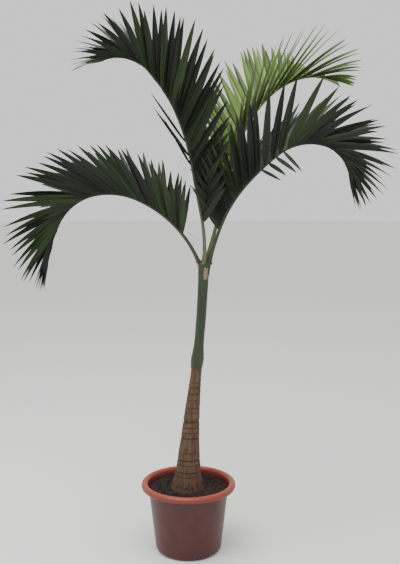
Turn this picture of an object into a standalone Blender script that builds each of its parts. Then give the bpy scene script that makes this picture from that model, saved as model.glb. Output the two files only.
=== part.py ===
"""Manila palm in a terracotta-coloured plastic pot.

Metres, +Z up. The origin is the middle of the pot's flat underside, +X is to the viewer's right
and -Y faces the viewer. The pot, its filling, the trunk, the crownshaft and each stretch of frond
are solids of their own.
"""

import math
import random
from typing import NamedTuple

import bmesh
import bpy
from mathutils import Vector
from mathutils.bvhtree import BVHTree

# Clearance between neighbouring solids
GAP = 0.0003
WELD = 0.00005

# Pot: a moulded tub with a rolled rim and drain holes
POT_HEIGHT = 0.260
RIM_RADIUS = 0.175
RIM_ROLL = 0.0125
ROLL_STEPS = 9
POT_TOP_RADIUS = 0.1480
POT_FOOT_RADIUS = 0.1230
FOOT_ROUND = 0.020
FOOT_STEPS = 4
POT_WALL = 0.003
POT_SIDES = 40
DRAIN_HOLES = 6
DRAIN_CIRCLE = 0.070
DRAIN_RADIUS = 0.006
DRAIN_SIDES = 10
DRAIN_CUTTER_DEPTH = 0.012

# Potting mix, level across the pot
MIX_TOP = 0.234

# Trunk: height above the mix and diameter, from the flared foot to the top
TRUNK_GIRTH = (
    (0.000, 0.128),
    (0.013, 0.116),
    (0.058, 0.095),
    (0.105, 0.084),
    (0.195, 0.068),
    (0.290, 0.056),
    (0.380, 0.0450),
    (0.425, 0.0400),
    (0.454, 0.0395),
)
TRUNK_SIDES = 16
# Old leaf scars ring the trunk at these heights above the mix
RING_SCARS = (0.052, 0.067, 0.094, 0.112, 0.141, 0.194, 0.214, 0.234,
              0.256, 0.290, 0.308, 0.336, 0.359, 0.383, 0.401)
SCAR_HALF_WIDTH = 0.0030
SCAR_DEPTH = 0.0013

# Crownshaft: height above the trunk's top and diameter
SHAFT_GIRTH = (
    (0.000, 0.0425),
    (0.014, 0.0457),
    (0.036, 0.0478),
    (0.058, 0.0425),
    (0.082, 0.0372),
    (0.104, 0.0352),
    (0.190, 0.0364),
    (0.280, 0.0372),
    (0.330, 0.0388),
    (0.366, 0.0430),
    (0.382, 0.0480),
)
SHAFT_SIDES = 16

# Heights where the solids of the stem meet
TRUNK_FOOT = MIX_TOP + GAP
TRUNK_TOP = TRUNK_FOOT + TRUNK_GIRTH[-1][0]
SHAFT_FOOT = TRUNK_TOP + GAP
SHAFT_TOP = SHAFT_FOOT + SHAFT_GIRTH[-1][0]
STALK_FOOT = SHAFT_TOP + GAP

# The stem leans to the right, with a slight double bend
LEAN_START = -0.004
LEAN_TRAVEL = 0.0615
LEAN_SWING = 0.065

# Ribs of the fronds
RIB_STEPS = 60
RIB_POINT_SPACING = 0.045
FEWEST_RIB_POINTS = 3
RIB_GIRTH = ((0.0, 0.0172), (0.18, 0.0132), (0.60, 0.0084), (1.0, 0.0044))
# Spare length of a rib that is cut away at its ends
RIB_SPARE = 0.006
# A frond is cut in two this far ahead of a pair of leaflets
CUT_AHEAD = 0.0025

# Leaflets: sizes and angles at stations spread evenly along the blade from its foot to its tip
LEAFLET_PAIRS = 34
ROW_STAGGER = 0.25
LEAFLET_WIDTH = 0.032
LEAFLET_LENGTHS = (0.64, 0.80, 0.94, 1.00, 0.84, 0.40)
LEAFLET_SWEEP = (50, 49, 46, 42, 36, 13)
LEAFLET_DROOP = (0.30, 0.25, 0.15, 0.15, 0.35, 0.50)
DROOP_POWER = 1.6
SWEEP_JITTER = 2.0
LIFT_JITTER = 3.0
LENGTH_JITTER = 0.04
LEAFLET_STEPS = 8
# Rings of one leaflet: share of its length, of its width and of its thickness
LEAFLET_RINGS = ((0.0, 0.14, 0.70), (0.30, 1.00, 1.00), (0.70, 0.82, 0.80), (1.0, 0.0, 0.0))
LEAFLET_THICKNESS = 0.0115
# Half the width and the whole depth of a three-sided rod whose corners lie on a circle of one unit
ROD_HALF_WIDTH = math.sqrt(3) / 2
ROD_DEPTH = 1.5
# A leaflet that meets another stretch of frond is tried again at these shares of its length
LEAFLET_TRIES = (1.0, 0.75, 0.5)
CLEARANCE_SWELL = 1.35


class Frond(NamedTuple):
    """One leaf of the palm: how its rib runs and how its leaflets stand on it."""

    name: str
    foot: tuple          # x and y where the stalk leaves the crownshaft
    heading: tuple       # direction over the ground at the foot and at the tip, degrees from +X
    rise: tuple          # how steeply the rib climbs at each fifth of its length, degrees
    length: float        # along the rib, bare stalk included
    stalk: float         # share of the length that carries no leaflets
    stretches: tuple     # name of each stretch and the share of the length where it ends
    leaflet: float       # the longest leaflet
    lift: tuple          # fold up from the sides at the foot, middle and tip of the blade, degrees
    roll: tuple          # turn of the blade round its rib at the same three places, degrees
    twist: float         # turn of each leaflet about its own length, so that they lie like shingles
    droop: float         # how strongly the leaflets hang, 1 for the usual
    fallen: tuple        # numbers of the pairs whose leaflet on the viewer's side has dropped
    dropped: tuple       # sweep and lift of those leaflets, in degrees, and their share of the length
    colour: tuple        # leaf colour: red, green and blue


FRONDS = (
    Frond(name="frond_tall", foot=(0.0577, -0.0095), heading=(200, 205),
          rise=(95, 78, 79, 65, 45, -24), length=0.885, stalk=0.17,
          stretches=(("inner", 0.58), ("arch", 0.84), ("tip", 1.0)),
          leaflet=0.305, lift=(35, 39, 28), roll=(-15, 3, 0), twist=33, droop=0.8,
          fallen=(9, 11, 13), dropped=(24, -75, 0.80), colour=(0.02, 0.04, 0.01)),
    Frond(name="frond_right", foot=(0.0737, -0.0020), heading=(-20, -24),
          rise=(76, 66, 47, 36, -14, -83), length=0.790, stalk=0.16,
          stretches=(("inner", 0.46), ("arch", 0.78), ("tip", 1.0)),
          leaflet=0.315, lift=(50, 38, 18), roll=(-5, -6, 0), twist=33, droop=1.0,
          fallen=(14, 16, 18), dropped=(70, -55, 0.45), colour=(0.02, 0.035, 0.015)),
    Frond(name="frond_left", foot=(0.0422, 0.0000), heading=(170, 165),
          rise=(68, 44, 22, -13, -59, -81), length=0.842, stalk=0.15,
          stretches=(("inner", 0.44), ("arch", 0.72), ("tip", 1.0)),
          leaflet=0.300, lift=(60, 42, -2), roll=(0, 0, -20), twist=33, droop=1.4,
          fallen=(), dropped=(), colour=(0.02, 0.035, 0.015)),
    Frond(name="frond_back", foot=(0.0617, 0.0125), heading=(36, 42),
          rise=(68, 74, 66, 42, 17, -6), length=1.08, stalk=0.20,
          stretches=(("inner", 0.62), ("tip", 1.0)),
          leaflet=0.310, lift=(42, 47, 14), roll=(-5, -6, 0), twist=-28, droop=1.0,
          fallen=(), dropped=(), colour=(0.06, 0.14, 0.02)),
)

POT_COLOUR = (0.10, 0.02, 0.012)
MIX_COLOUR = (0.02, 0.01, 0.008)
TRUNK_COLOUR = (0.09, 0.05, 0.035)
SHAFT_COLOUR = (0.03, 0.05, 0.015)


def clear_scene():
    """Remove the objects that the scene starts with."""
    for thing in list(bpy.data.objects):
        bpy.data.objects.remove(thing, do_unlink=True)


def make_collection(name, parent):
    """A collection for one kind of object."""
    group = bpy.data.collections.new(name)
    parent.children.link(group)
    return group


def make_material(name, colour, roughness):
    """A plain surface with one colour and one roughness."""
    material = bpy.data.materials.new(name)
    material.use_nodes = True
    shader = material.node_tree.nodes["Principled BSDF"]
    shader.inputs["Base Color"].default_value = (*colour, 1.0)
    shader.inputs["Roughness"].default_value = roughness
    shader.inputs["Metallic"].default_value = 0.0
    return material


def add_object(name, data, group):
    """Put a mesh or a curve in the scene under a name."""
    thing = bpy.data.objects.new(name, data)
    group.objects.link(thing)
    return thing


def settle(thing, name, group, material):
    """Turn an object with live modifiers, or a curve, into a plain mesh object."""
    graph = bpy.context.evaluated_depsgraph_get()
    mesh = bpy.data.meshes.new_from_object(thing.evaluated_get(graph))
    bpy.data.objects.remove(thing, do_unlink=True)
    mesh.materials.clear()
    mesh.materials.append(material)
    return add_object(name, mesh, group)


def between(pairs, place):
    """Read an amount from (place, amount) pairs, straight between neighbours."""
    for (low, start), (high, end) in zip(pairs, pairs[1:]):
        if place <= high:
            return start + (end - start) * (place - low) / (high - low)
    return pairs[-1][1]


def evenly(stations, share):
    """Read an amount from stations spread evenly from 0 to 1."""
    last = len(stations) - 1
    return between([(index / last, amount) for index, amount in enumerate(stations)], share)


def arc(centre, radius, start, end, steps):
    """Points on an arc of a profile, with angles in degrees."""
    angles = [math.radians(start + (end - start) * index / steps) for index in range(steps + 1)]
    return [(centre[0] + radius * math.cos(angle), centre[1] + radius * math.sin(angle)) for angle in angles]


def turned(name, profile, sides, group):
    """A solid of revolution from a profile of radii and heights that runs down its outer side."""
    outline = bmesh.new()
    corners = [outline.verts.new((radius, 0.0, height)) for radius, height in profile]
    for upper, lower in zip(corners, corners[1:]):
        outline.edges.new((upper, lower))
    mesh = bpy.data.meshes.new(name)
    outline.to_mesh(mesh)
    outline.free()
    solid = add_object(name, mesh, group)
    screw = solid.modifiers.new("turn", "SCREW")
    screw.axis = "Z"
    screw.angle = math.tau
    screw.steps = sides
    screw.render_steps = sides
    screw.use_merge_vertices = True
    screw.merge_threshold = WELD
    return solid


def smooth(solid, sharp_degrees=35):
    """Shade a round solid smooth up to its sharp edges."""
    solid.data.shade_smooth()
    solid.data.set_sharp_from_angle(angle=math.radians(sharp_degrees))


def tub_side(depth):
    """Profile of the tub at a depth below its outer skin, from the rim's foot to the axis."""
    rim_foot = POT_HEIGHT - 2 * RIM_ROLL
    taper = math.degrees(math.atan2(POT_TOP_RADIUS - POT_FOOT_RADIUS, rim_foot - FOOT_ROUND))
    corner = arc((POT_FOOT_RADIUS - FOOT_ROUND, FOOT_ROUND), FOOT_ROUND - depth, -taper, -90, FOOT_STEPS)
    return [(POT_TOP_RADIUS - depth, rim_foot)] + corner + [(0.0, depth)]


def make_drain_cutters(group):
    """Rods where the floor of the pot is pierced."""
    for index in range(DRAIN_HOLES):
        angle = math.tau * index / DRAIN_HOLES
        place = (DRAIN_CIRCLE * math.cos(angle), DRAIN_CIRCLE * math.sin(angle), 0.0)
        bpy.ops.mesh.primitive_cylinder_add(
            vertices=DRAIN_SIDES, radius=DRAIN_RADIUS, depth=DRAIN_CUTTER_DEPTH, location=place)
        cutter = bpy.context.active_object
        cutter.name = f"drain_cutter_{index}"
        cutter.hide_render = True
        cutter.display_type = "WIRE"
        for home in list(cutter.users_collection):
            home.objects.unlink(cutter)
        group.objects.link(cutter)


def make_pot(group, cutters):
    """The pot: a thin tub with a rolled rim, a rounded foot and drain holes in its floor."""
    make_drain_cutters(cutters)
    roll_centre = (RIM_RADIUS - RIM_ROLL, POT_HEIGHT - RIM_ROLL)
    roll = arc(roll_centre, RIM_ROLL, 180, -90, ROLL_STEPS)
    inside = list(reversed(tub_side(POT_WALL)))
    pot = turned("pot", inside + roll + tub_side(0.0), POT_SIDES, group)
    drain = pot.modifiers.new("drain", "BOOLEAN")
    drain.operation = "DIFFERENCE"
    drain.solver = "EXACT"
    drain.operand_type = "COLLECTION"
    drain.collection = cutters
    pot = settle(pot, "pot", group, make_material("terracotta_plastic", POT_COLOUR, 0.45))
    smooth(pot)


def make_potting_mix(group):
    """The potting mix, which fills the tub to a level top."""
    side = tub_side(POT_WALL + GAP)
    edge = between([(height, radius) for radius, height in reversed(side[:2])], MIX_TOP)
    profile = [(0.0, MIX_TOP), (edge, MIX_TOP)] + side[1:]
    mix = turned("potting_mix", profile, POT_SIDES, group)
    settle(mix, "potting_mix", group, make_material("potting_mix", MIX_COLOUR, 0.95))


def lean_at(height):
    """How far the middle of the stem stands to the right at a height."""
    share = (height - TRUNK_FOOT) / (SHAFT_TOP - TRUNK_FOOT)
    return LEAN_START + LEAN_TRAVEL * (share - LEAN_SWING * math.sin(math.tau * share))


def scar_depth(height):
    """Depth of the leaf scars at a height above the mix."""
    depths = [SCAR_DEPTH * (1.0 - abs(height - scar) / SCAR_HALF_WIDTH) for scar in RING_SCARS]
    return max(0.0, *depths)


def make_stem(name, girth, foot, sides, dents, group, material):
    """An upright tapering limb with flat ends, turned and then leaned."""
    heights = {height for height, _ in girth}
    for dent in dents:
        heights |= {dent - SCAR_HALF_WIDTH, dent, dent + SCAR_HALF_WIDTH}
    profile = []
    for height in sorted(heights, reverse=True):
        dent = scar_depth(height) if dents else 0.0
        profile.append((between(girth, height) / 2 - dent, foot + height))
    profile = [(0.0, profile[0][1])] + profile + [(0.0, profile[-1][1])]
    stem = settle(turned(name, profile, sides, group), name, group, material)
    for vertex in stem.data.vertices:
        vertex.co.x += lean_at(vertex.co.z)
    smooth(stem)


class Rib:
    """The middle line of a frond, traced from its headings and rises."""

    def __init__(self, frond):
        self.frond = frond
        self.points = [Vector((*frond.foot, STALK_FOOT))]
        for index in range(RIB_STEPS):
            stride = self.along((index + 0.5) / RIB_STEPS) * frond.length / RIB_STEPS
            self.points.append(self.points[-1] + stride)

    def along(self, share):
        """Direction in which the rib runs at a share of its length."""
        heading = math.radians(evenly(self.frond.heading, share))
        rise = math.radians(evenly(self.frond.rise, share))
        level = math.cos(rise)
        return Vector((level * math.cos(heading), level * math.sin(heading), math.sin(rise)))

    def point(self, share):
        """Place on the rib at a share of its length."""
        index = min(int(share * RIB_STEPS), RIB_STEPS - 1)
        return self.points[index].lerp(self.points[index + 1], share * RIB_STEPS - index)

    def axes(self, share, roll):
        """Directions to the left of the rib and out of its upper face, turned by a roll in degrees."""
        heading = math.radians(evenly(self.frond.heading, share))
        left = Vector((-math.sin(heading), math.cos(heading), 0.0))
        upper = self.along(share).cross(left)
        turn = math.radians(roll)
        return (left * math.cos(turn) + upper * math.sin(turn),
                upper * math.cos(turn) - left * math.sin(turn))

    def blade_share(self, pair, side):
        """Share of the rib's length where a leaflet of a pair is rooted; side is 1 left, -1 right."""
        place = (pair + (ROW_STAGGER if side < 0 else 0.0)) / LEAFLET_PAIRS
        return self.frond.stalk + (1.0 - self.frond.stalk) * place

    def cuts(self):
        """Shares of the length where the stretches of the frond begin and end."""
        shares = [0.0]
        for _, end in self.frond.stretches[:-1]:
            pair = next(p for p in range(LEAFLET_PAIRS) if self.blade_share(p, 1) > end)
            shares.append(self.blade_share(pair, 1) - CUT_AHEAD / self.frond.length)
        return shares + [1.0]


class Leaflet:
    """The course and size of one leaflet."""

    def __init__(self, rib, pair, side, chance, reach):
        frond = rib.frond
        place = pair / (LEAFLET_PAIRS - 1)
        share = rib.blade_share(pair, side)
        sweep, lift, size = evenly(LEAFLET_SWEEP, place), evenly(frond.lift, place), 1.0
        if pair in frond.fallen and side == viewer_side(frond):
            sweep, lift, size = frond.dropped
        sweep = math.radians(sweep + chance[0] * SWEEP_JITTER)
        lift = math.radians(lift + chance[1] * LIFT_JITTER)
        left, upper = rib.axes(share, evenly(frond.roll, place))
        along = rib.along(share)
        outward = left * side * math.cos(lift) + upper * math.sin(lift)
        start = along * math.cos(sweep) + outward * math.sin(sweep)
        size *= evenly(LEAFLET_LENGTHS, place) * (1.0 + chance[2] * LENGTH_JITTER) * reach
        self.length = frond.leaflet * size
        self.width = LEAFLET_WIDTH * math.sqrt(size)
        self.along = along
        self.twist = math.radians(frond.twist)
        self.side = side
        droop = evenly(LEAFLET_DROOP, place) * frond.droop
        self.points = [rib.point(share)]
        self.headings = []
        for step in range(LEAFLET_STEPS):
            fall = droop * ((step + 0.5) / LEAFLET_STEPS) ** DROOP_POWER
            heading = (start + Vector((0.0, 0.0, -fall))).normalized()
            self.headings.append(heading)
            self.points.append(self.points[-1] + heading * self.length / LEAFLET_STEPS)

    def place(self, share, across, above):
        """A point of the leaflet, across and above its middle line at a share of its length."""
        step = min(int(share * LEAFLET_STEPS), LEAFLET_STEPS - 1)
        middle = self.points[step].lerp(self.points[step + 1], share * LEAFLET_STEPS - step)
        heading = self.headings[step]
        edge = (self.along - heading * self.along.dot(heading)).normalized()
        face = edge.cross(heading) * self.side
        turned_edge = edge * math.cos(self.twist) - face * math.sin(self.twist)
        turned_face = face * math.cos(self.twist) + edge * math.sin(self.twist)
        return middle + turned_edge * across + turned_face * above


def viewer_side(frond):
    """The row of leaflets that faces the viewer: 1 for the left row, -1 for the right row."""
    return 1 if math.cos(math.radians(frond.heading[0])) < 0 else -1


def leaflet_blank():
    """A three-sided rod of one unit, ringed where a leaflet is shaped and pointed at its tip."""
    blank = bmesh.new()
    bmesh.ops.create_cone(blank, cap_ends=True, segments=3, radius1=1.0, radius2=1.0, depth=1.0)
    bmesh.ops.translate(blank, vec=(0.0, 0.0, 0.5), verts=blank.verts)
    for share, _, _ in LEAFLET_RINGS[1:-1]:
        bmesh.ops.bisect_plane(
            blank, geom=blank.verts[:] + blank.edges[:] + blank.faces[:],
            plane_co=(0.0, 0.0, share), plane_no=(0.0, 0.0, 1.0))
    tip = [corner for corner in blank.verts if corner.co.z > 1.0 - WELD]
    bmesh.ops.pointmerge(blank, verts=tip, merge_co=(0.0, 0.0, 1.0))
    return blank


def leaflet_mesh(blank, leaflet, swell):
    """The blank laid along a leaflet's course; swell fattens it to test its clearance."""
    widths = [(share, width) for share, width, _ in LEAFLET_RINGS]
    depths = [(share, depth) for share, _, depth in LEAFLET_RINGS]
    solid = blank.copy()
    for corner in solid.verts:
        share = corner.co.z
        half_width = leaflet.width / 2 * between(widths, share) * swell
        depth = leaflet.length * LEAFLET_THICKNESS * between(depths, share) * swell
        across = corner.co.x / ROD_HALF_WIDTH * half_width
        above = corner.co.y / ROD_DEPTH * depth
        corner.co = leaflet.place(share, across, above)
    bmesh.ops.recalc_face_normals(solid, faces=solid.faces)
    return solid


def make_rib(rib, name, start, end, group, material):
    """One stretch of a frond's rib: a tapering tube, cut square where the next stretch begins."""
    frond = rib.frond
    count = max(FEWEST_RIB_POINTS, round((end - start) * frond.length / RIB_POINT_SPACING) + 1)
    shares = [start + (end - start) * index / (count - 1) for index in range(count)]
    points = [rib.point(share) for share in shares]
    points[0] = points[0] - rib.along(start) * RIB_SPARE
    if end < 1.0:
        points[-1] = points[-1] + rib.along(end) * RIB_SPARE
    curve = bpy.data.curves.new(name, "CURVE")
    curve.dimensions = "3D"
    # A knot's radius below holds the rib's whole girth
    curve.bevel_depth = 0.5
    curve.bevel_resolution = 1
    curve.use_fill_caps = True
    spline = curve.splines.new("POLY")
    spline.points.add(count - 1)
    for knot, point, share in zip(spline.points, points, shares):
        knot.co = (*point, 1.0)
        knot.radius = between(RIB_GIRTH, share)
    tube = settle(add_object(name, curve, group), name, group, material)
    solid = bmesh.new()
    solid.from_mesh(tube.data)
    bmesh.ops.remove_doubles(solid, verts=solid.verts, dist=WELD)
    if start > 0.0:
        ahead = rib.along(start)
        cut_square(solid, rib.point(start) + ahead * GAP / 2, ahead)
    else:
        cut_square(solid, Vector((0.0, 0.0, STALK_FOOT)), Vector((0.0, 0.0, 1.0)))
    if end < 1.0:
        back = -rib.along(end)
        cut_square(solid, rib.point(end) + back * GAP / 2, back)
    bmesh.ops.recalc_face_normals(solid, faces=solid.faces)
    solid.to_mesh(tube.data)
    solid.free()
    return tube


def cut_square(solid, place, inward):
    """Cut a tube off at a plane and close its end; inward points along what is kept."""
    geometry = solid.verts[:] + solid.edges[:] + solid.faces[:]
    bmesh.ops.bisect_plane(solid, geom=geometry, plane_co=place, plane_no=inward, clear_inner=True)
    mouth = [edge for edge in solid.edges if edge.is_boundary]
    bmesh.ops.holes_fill(solid, edges=mouth, sides=0)


def tree_of(thing):
    """A search tree over the faces of a mesh object."""
    solid = bmesh.new()
    solid.from_mesh(thing.data)
    tree = BVHTree.FromBMesh(solid)
    solid.free()
    return tree


def touches_others(solid, own, taken):
    """Whether a leaflet meets anything that belongs to another stretch of frond."""
    tree = BVHTree.FromBMesh(solid)
    return any(tree.overlap(other) for owner, other in taken if owner != own)


def grow_leaflet(blank, rib, pair, side, chance, own, taken):
    """A leaflet that clears the other stretches, shortened if need be, or None where none fits."""
    for reach in LEAFLET_TRIES:
        leaflet = Leaflet(rib, pair, side, chance, reach)
        swollen = leaflet_mesh(blank, leaflet, CLEARANCE_SWELL)
        blocked = touches_others(swollen, own, taken)
        swollen.free()
        if not blocked:
            return leaflet_mesh(blank, leaflet, 1.0)
    return None


def join_leaflets(rib_tube, leaflets, group, material):
    """Fuse the leaflets of one stretch to its rib and remove them from the scene."""
    union = rib_tube.modifiers.new("fuse", "BOOLEAN")
    union.operation = "UNION"
    union.solver = "EXACT"
    union.operand_type = "COLLECTION"
    union.collection = leaflets
    settle(rib_tube, rib_tube.name, group, material)
    for leaflet in list(leaflets.objects):
        bpy.data.objects.remove(leaflet, do_unlink=True)
    bpy.data.collections.remove(leaflets)


def make_fronds(group, scene_group):
    """All fronds, each as stretches that clear each other and the neighbouring fronds."""
    blank = leaflet_blank()
    taken = []
    stretches = []
    for frond in FRONDS:
        rib = Rib(frond)
        material = make_material(frond.name, frond.colour, 0.45)
        cuts = rib.cuts()
        for (part, _), start, end in zip(frond.stretches, cuts, cuts[1:]):
            name = f"{frond.name}_{part}"
            tube = make_rib(rib, name, start, end, group, material)
            taken.append((name, tree_of(tube)))
            stretches.append((rib, name, start, end, tube, material))
    for number, (rib, name, start, end, tube, material) in enumerate(stretches):
        chance = random.Random(number)
        leaflets = make_collection(f"{name}_leaflets", scene_group)
        for pair in range(LEAFLET_PAIRS):
            for side in (1, -1):
                share = rib.blade_share(pair, side)
                if not start <= share < end:
                    continue
                luck = [chance.uniform(-1, 1) for _ in range(3)]
                solid = grow_leaflet(blank, rib, pair, side, luck, name, taken)
                if solid is None:
                    continue
                taken.append((name, BVHTree.FromBMesh(solid)))
                mesh = bpy.data.meshes.new("leaflet")
                solid.to_mesh(mesh)
                solid.free()
                add_object("leaflet", mesh, leaflets)
        join_leaflets(tube, leaflets, group, material)
    blank.free()


def main():
    """Build the potted palm."""
    clear_scene()
    scene_group = bpy.context.scene.collection
    group = make_collection("manila_palm", scene_group)
    cutters = make_collection("cutters", scene_group)
    make_pot(group, cutters)
    make_potting_mix(group)
    make_stem("trunk", TRUNK_GIRTH, TRUNK_FOOT, TRUNK_SIDES, RING_SCARS, group,
              make_material("trunk_bark", TRUNK_COLOUR, 0.85))
    make_stem("crownshaft", SHAFT_GIRTH, SHAFT_FOOT, SHAFT_SIDES, (), group,
              make_material("crownshaft", SHAFT_COLOUR, 0.40))
    make_fronds(group, scene_group)


main()
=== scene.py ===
"""Looks of the potted manila palm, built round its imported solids.

Metres, +Z up. The origin is the middle of the pot's flat underside, +X is to the viewer's right
and -Y faces the viewer. The fronds grow by the rule of the solids, with all of the palm's leaflets.
"""

import logging
import math
import random
from dataclasses import dataclass
from enum import Enum
from functools import cache

import bmesh
import bpy
from mathutils import Euler, Matrix, Vector, noise

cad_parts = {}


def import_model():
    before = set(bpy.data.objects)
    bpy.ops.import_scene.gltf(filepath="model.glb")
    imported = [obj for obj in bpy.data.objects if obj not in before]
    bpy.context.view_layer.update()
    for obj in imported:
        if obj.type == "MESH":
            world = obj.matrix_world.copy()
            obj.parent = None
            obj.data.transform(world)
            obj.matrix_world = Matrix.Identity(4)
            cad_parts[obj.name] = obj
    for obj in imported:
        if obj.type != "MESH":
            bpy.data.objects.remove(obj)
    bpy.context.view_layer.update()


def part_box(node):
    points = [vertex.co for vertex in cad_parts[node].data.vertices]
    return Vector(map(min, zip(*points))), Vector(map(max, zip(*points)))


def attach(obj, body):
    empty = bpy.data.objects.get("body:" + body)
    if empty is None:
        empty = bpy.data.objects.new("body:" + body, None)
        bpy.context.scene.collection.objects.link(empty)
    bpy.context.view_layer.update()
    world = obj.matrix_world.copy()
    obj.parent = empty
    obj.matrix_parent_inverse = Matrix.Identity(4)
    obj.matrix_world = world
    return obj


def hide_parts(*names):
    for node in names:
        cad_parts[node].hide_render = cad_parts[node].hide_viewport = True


LOG = logging.getLogger("manila_palm")
WELD = 0.00002

# Places with amounts, amounts at even stations, radii with heights, lowest and highest, x y z
Pairs = tuple[tuple[float, float], ...]
Stations = tuple[float, ...]
Profile = list[tuple[float, float]]
Range = tuple[float, float]
Place = tuple[float, float, float]
Solid = bmesh.types.BMesh


def linear(code: str) -> tuple[float, float, float, float]:
    """Turn an sRGB hex colour into a linear one.

    Args:
        code: The colour as #rrggbb.

    Returns:
        Linear red, green and blue, and full alpha.
    """
    shares = [int(code[start:start + 2], 16) / 255 for start in (1, 3, 5)]
    red, green, blue = (c / 12.92 if c <= 0.04045 else ((c + 0.055) / 1.055) ** 2.4 for c in shares)
    return red, green, blue, 1.0


def between(pairs: Pairs, place: float) -> float:
    """Read an amount from (place, amount) pairs, straight between neighbours.

    Args:
        pairs: Places in rising order, each with its amount.
        place: Where to read.

    Returns:
        The amount at that place.
    """
    for (low, start), (high, end) in zip(pairs, pairs[1:]):
        if place <= high:
            return start + (end - start) * (place - low) / (high - low)
    return pairs[-1][1]


def evenly(stations: Stations, share: float) -> float:
    """Read an amount at a share of the way along stations that lie evenly from 0 to 1."""
    last = len(stations) - 1
    return between(tuple((index / last, amount) for index, amount in enumerate(stations)), share)


def even_shares(steps: int) -> list[float]:
    """Find the shares from 0 to 1 at which even pieces of one unit meet."""
    return [index / steps for index in range(steps + 1)]


def arc(centre: Range, radius: float, start: float, end: float, steps: int) -> Profile:
    """Find radii and heights on an arc, from one angle to another in degrees."""
    angles = [math.radians(start + (end - start) * index / steps) for index in range(steps + 1)]
    return [(centre[0] + radius * math.cos(angle), centre[1] + radius * math.sin(angle)) for angle in angles]


def add_node(tree: bpy.types.NodeTree, kind: str, sockets: dict | None = None, **settings) -> bpy.types.Node:
    """Add a node with its settings and what feeds it.

    Args:
        tree: The tree that gets the node.
        kind: Blender's name for the kind of node.
        sockets: For each input, by name or number, a value or the output that feeds it.
        **settings: Properties of the node.

    Returns:
        The new node.
    """
    node = tree.nodes.new(kind)
    for name, value in settings.items():
        setattr(node, name, value)
    for socket, value in (sockets or {}).items():
        if isinstance(value, bpy.types.NodeSocket):
            tree.links.new(value, node.inputs[socket])
        else:
            node.inputs[socket].default_value = value
    return node


@dataclass(frozen=True)
class Finish:
    """A surface with a mottled colour, shaded places and a fine relief."""

    name: str
    base: str  # colour of most of the surface
    mottle: str  # colour of its patches
    shaded: str  # colour where the piece's shade attribute is 1; on the pot's rim this is a painted highlight
    patch_mm: float = 5.0  # size of a patch
    grain_mm: float = 0.9  # spacing of the fine relief
    relief_mm: float = 0.2  # depth of the fine relief
    roughness: float = 0.9
    ior: float = 1.5
    stretch: float = 1.0  # how much longer patches and grain are upright than across
    sheen: float = 0.0  # weight of a dusty bloom

    def material(self) -> bpy.types.Material:
        """Make the material of this finish.

        Returns:
            The material, which reads Object coordinates and the shade attribute.
        """
        material = bpy.data.materials.new(self.name)
        material.use_nodes = True
        tree = material.node_tree
        tree.nodes.clear()
        where = add_node(tree, "ShaderNodeTexCoord")
        placed = add_node(tree, "ShaderNodeMapping", {
            "Vector": where.outputs["Object"], "Scale": (1.0, 1.0, 1.0 / self.stretch)})
        patches = add_node(tree, "ShaderNodeTexNoise", {
            "Vector": placed.outputs["Vector"], "Scale": 1000 / self.patch_mm, "Detail": 4.0})
        # Noise keeps close to one half, so a narrow range of it is spread over both colours
        spread = add_node(tree, "ShaderNodeMapRange", {
            "Value": patches.outputs["Fac"], "From Min": 0.38, "From Max": 0.64})
        colour = add_node(tree, "ShaderNodeMix", {
            0: spread.outputs["Result"], 6: linear(self.base), 7: linear(self.mottle)}, data_type="RGBA")
        shade = add_node(tree, "ShaderNodeAttribute", attribute_name="shade")
        toned = add_node(tree, "ShaderNodeMix", {
            0: shade.outputs["Fac"], 6: colour.outputs[2], 7: linear(self.shaded)}, data_type="RGBA")
        grain = add_node(tree, "ShaderNodeTexNoise", {
            "Vector": placed.outputs["Vector"], "Scale": 1000 / self.grain_mm, "Detail": 3.0})
        relief = add_node(tree, "ShaderNodeBump", {
            "Height": grain.outputs["Fac"], "Distance": self.relief_mm / 1000, "Strength": 1.0})
        shader = add_node(tree, "ShaderNodeBsdfPrincipled", {
            "Base Color": toned.outputs[2], "Normal": relief.outputs["Normal"],
            "Roughness": self.roughness, "IOR": self.ior, "Sheen Weight": self.sheen})
        add_node(tree, "ShaderNodeOutputMaterial", {"Surface": shader.outputs["BSDF"]})
        return material


@dataclass(frozen=True)
class LeafFinish:
    """The waxy skin of a palm leaflet, in one plain colour."""

    name: str
    colour: str
    roughness: float = 0.55
    ior: float = 1.38  # thin wax shines less than plastic
    vein_mm: float = 1.6  # true veins lie closer: drawn this coarse so that they show
    relief_mm: float = 0.05

    def material(self) -> bpy.types.Material:
        """Make the leaf material.

        Returns:
            The material.
        """
        material = bpy.data.materials.new(self.name)
        material.use_nodes = True
        tree = material.node_tree
        tree.nodes.clear()
        where = add_node(tree, "ShaderNodeTexCoord")
        veins = add_node(tree, "ShaderNodeTexNoise", {
            "Vector": where.outputs["Object"], "Scale": 1000 / self.vein_mm, "Detail": 1.0})
        relief = add_node(tree, "ShaderNodeBump", {
            "Height": veins.outputs["Fac"], "Distance": self.relief_mm / 1000, "Strength": 1.0})
        shader = add_node(tree, "ShaderNodeBsdfPrincipled", {
            "Base Color": linear(self.colour), "Normal": relief.outputs["Normal"],
            "Roughness": self.roughness, "IOR": self.ior})
        add_node(tree, "ShaderNodeOutputMaterial", {"Surface": shader.outputs["BSDF"]})
        return material


# Moulded polypropylene, satin: the rim's top is painted paler as a painted highlight of the light from
# above, and the body below it is painted deep red-brown, darkened as painted shade
POT_PLASTIC_PAINTED_LIGHT = Finish("moulded_terracotta_polypropylene", "#451006", "#3a0c05", "#933a22",
                     patch_mm=45, grain_mm=1.2, relief_mm=0.03, roughness=0.42, ior=1.49)
# Moist peat and composted bark: nearly black, crumbly and matt
PEAT = Finish("moist_peat_mix", "#221410", "#150c0a", "#35231b",
              patch_mm=14, grain_mm=2.2, relief_mm=0.8, roughness=0.95)
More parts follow.
